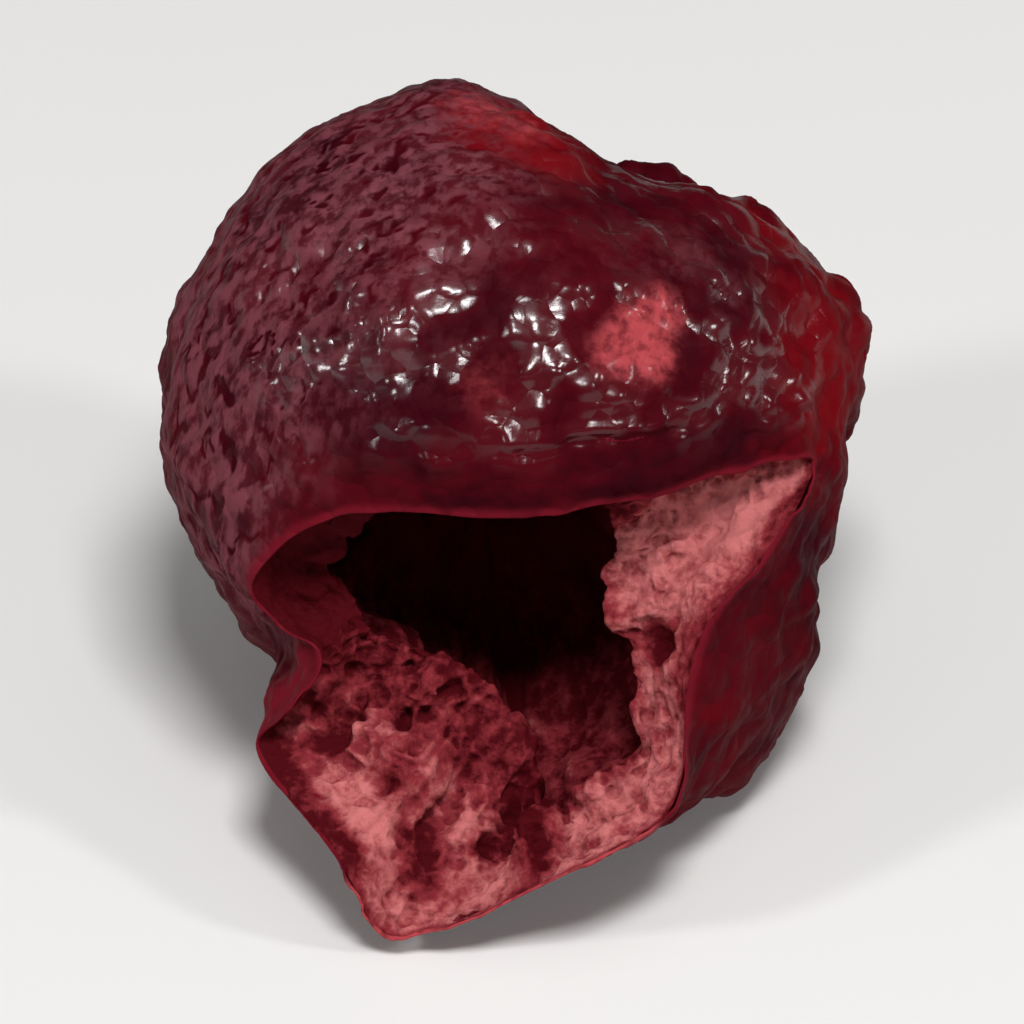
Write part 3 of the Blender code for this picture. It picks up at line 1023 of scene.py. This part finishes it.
def flesh_material(colours):
    """Porous flesh: pale ridges, crimson pits darkened partly as painted shade, and the dark lining of the
    hollow.
    """
    paint = Paint("cherry flesh")
    clouds = paint.mottle(1.3)
    lumps = paint.mottle(0.5, detail=2)
    grain = paint.mottle(0.22, detail=4, rough=0.7)
    height = paint.maths("ADD", paint.tint("height"), paint.ramp(grain, 0.25, 0.75, start=-0.45, end=0.45))
    height = paint.maths("ADD", height, paint.ramp(clouds, 0.25, 0.75, start=-0.3, end=0.3))
    height = paint.maths("ADD", height, paint.ramp(lumps, 0.3, 0.7, start=-0.4, end=0.4))
    # Tone follows the relief: ridges paler and pits darker, partly the flesh's own colour and partly painted
    # shade
    tone = paint.maths("ADD", paint.tint("pale"), paint.maths("MULTIPLY", height, 0.6))
    base = paint.mix(paint.ramp(tone, -0.3, 0.5), tuple(colours.deep), tuple(colours.flesh))
    base = paint.mix(paint.ramp(tone, 0.35, 1.5), base, tuple(colours.pale))
    base = paint.mix(paint.ramp(paint.tint("depth"), 1.15, 1.6), base, tuple(colours.hollow))
    fine = paint.bump(grain, 0.08)
    paint.set(Base_Color=base, Roughness=0.8, Normal=fine)
    paint.set(Subsurface_Weight=0.15, Subsurface_Scale=0.4 * MM, Specular_IOR_Level=0.08)
    paint.shader.inputs["Subsurface Radius"].default_value = (1.0, 0.25, 0.2)
    return paint.material


def floor_material(colours):
    """Matt pale paint with a trace of unevenness."""
    paint = Paint("studio floor")
    shade = paint.mottle(30)
    darker = tuple(0.97 * value for value in colours.floor[:3]) + (1,)
    paint.set(Base_Color=paint.mix(shade, darker, tuple(colours.floor)), Roughness=0.7)
    return paint.material


class OBJECT_OT_cherry_skin(bpy.types.Operator):
    """Adds the skin with its torn, rounded hem"""

    bl_idname = "object.cherry_skin"
    bl_label = "Add Cherry Skin"

    def execute(self, context):
        grid = fruit_grid()
        rows, tints = skin_rows(grid, context.scene.cherry_sizes)
        rows[:, :, 2] = np.maximum(rows[:, :, 2], -MIDDLE_HEIGHT)
        piece = make_piece("cherry_skin", (rows + into_frame(grid)) * MM, tints)
        finish_piece(piece, skin_material(context.scene.cherry_colours))
        return {"FINISHED"}


class OBJECT_OT_cherry_flesh(bpy.types.Operator):
    """Adds the torn flesh and the lining of the pit's hollow"""

    bl_idname = "object.cherry_flesh"
    bl_label = "Add Cherry Flesh"

    def execute(self, context):
        grid = fruit_grid()
        rows, tints = flesh_rows(grid, context.scene.cherry_sizes)
        piece = make_piece("cherry_flesh", (rows + into_frame(grid)) * MM, tints)
        finish_piece(piece, flesh_material(context.scene.cherry_colours))
        return {"FINISHED"}


def add_light(name, width, depth, power, place, target):
    """A lamp of that width and depth at place, turned to target."""
    lamp = bpy.data.lights.new(name, "AREA")
    lamp.shape = "RECTANGLE"
    lamp.size = width
    lamp.size_y = depth
    lamp.energy = power
    light = bpy.data.objects.new(name, lamp)
    light.location = place
    light.rotation_mode = "QUATERNION"
    light.rotation_quaternion = (target - place).to_track_quat("-Z", "Y")
    bpy.context.scene.collection.objects.link(light)


def add_camera(studio, target):
    """A long lens at the picture's viewing angle, looking at target."""
    data = bpy.data.cameras.new("camera")
    data.lens = data.sensor_width / 2 / math.tan(math.atan(studio.width / 2 / studio.distance))
    camera = bpy.data.objects.new("camera", data)
    back = Vector((0, -math.cos(studio.elevation), math.sin(studio.elevation)))
    camera.location = target + back * studio.distance
    camera.rotation_mode = "QUATERNION"
    camera.rotation_quaternion = (-back).to_track_quat("-Z", "Y")
    data.clip_start = 0.01
    bpy.context.scene.collection.objects.link(camera)
    bpy.context.scene.camera = camera


class SCENE_OT_cherry_studio(bpy.types.Operator):
    """Adds the pale floor, soft lights, white surroundings and camera"""

    bl_idname = "scene.cherry_studio"
    bl_label = "Add Studio"

    def execute(self, context):
        studio = context.scene.cherry_studio
        ground = bmesh.new()
        bmesh.ops.create_circle(ground, cap_ends=True, segments=FLOOR_SIDES, radius=FLOOR_RADIUS)
        mesh = bpy.data.meshes.new("floor")
        ground.to_mesh(mesh)
        ground.free()
        mesh.materials.append(floor_material(studio))
        floor = bpy.data.objects.new("floor", mesh)
        context.scene.collection.objects.link(floor)

        middle = Vector(into_frame(fruit_grid())) * MM
        down = Vector((0, -math.sin(studio.elevation), -math.cos(studio.elevation)))
        target = middle + Vector((LOOK_RIGHT * MM, 0, 0)) + down * (LOOK_DOWN * MM)
        add_camera(studio, target)
        for name, setting, width, depth, offset in LAMPS:
            add_light(name, width, depth, getattr(studio, setting), middle + Vector(offset), middle)

        world = bpy.data.worlds.new("surround")
        world.use_nodes = True
        background = world.node_tree.nodes["Background"]
        background.inputs["Color"].default_value = (1, 1, 1, 1)
        background.inputs["Strength"].default_value = studio.surround
        context.scene.world = world
        context.scene.view_settings.view_transform = "Standard"
        return {"FINISHED"}


class VIEW3D_PT_cherry(bpy.types.Panel):
    """Lists the cherry's pieces with their sizes and colours"""

    bl_label = "Freeze-dried Cherry"
    bl_space_type = "VIEW_3D"
    bl_region_type = "UI"
    bl_category = "Cherry"

    def draw(self, context):
        layout = self.layout
        for operator in (OBJECT_OT_cherry_skin, OBJECT_OT_cherry_flesh, SCENE_OT_cherry_studio):
            layout.operator(operator.bl_idname)
        for group in (context.scene.cherry_sizes, context.scene.cherry_colours, context.scene.cherry_studio):
            box = layout.box()
            for name in group.__annotations__:
                box.prop(group, name)


CLASSES = (
    CherrySizes,
    CherryColours,
    CherryStudio,
    OBJECT_OT_cherry_skin,
    OBJECT_OT_cherry_flesh,
    SCENE_OT_cherry_studio,
    VIEW3D_PT_cherry,
)


def register():
    """Registers the classes and puts their settings on the scene."""
    for cls in CLASSES:
        bpy.utils.register_class(cls)
    bpy.types.Scene.cherry_sizes = PointerProperty(type=CherrySizes)
    bpy.types.Scene.cherry_colours = PointerProperty(type=CherryColours)
    bpy.types.Scene.cherry_studio = PointerProperty(type=CherryStudio)


def unregister():
    """Undoes register()."""
    del bpy.types.Scene.cherry_studio
    del bpy.types.Scene.cherry_colours
    del bpy.types.Scene.cherry_sizes
    for cls in reversed(CLASSES):
        bpy.utils.unregister_class(cls)


def main():
    """Builds the cherry in its studio."""
    register()
    bpy.ops.object.cherry_skin()
    bpy.ops.object.cherry_flesh()
    bpy.ops.scene.cherry_studio()


if __name__ == "__main__":
    main()
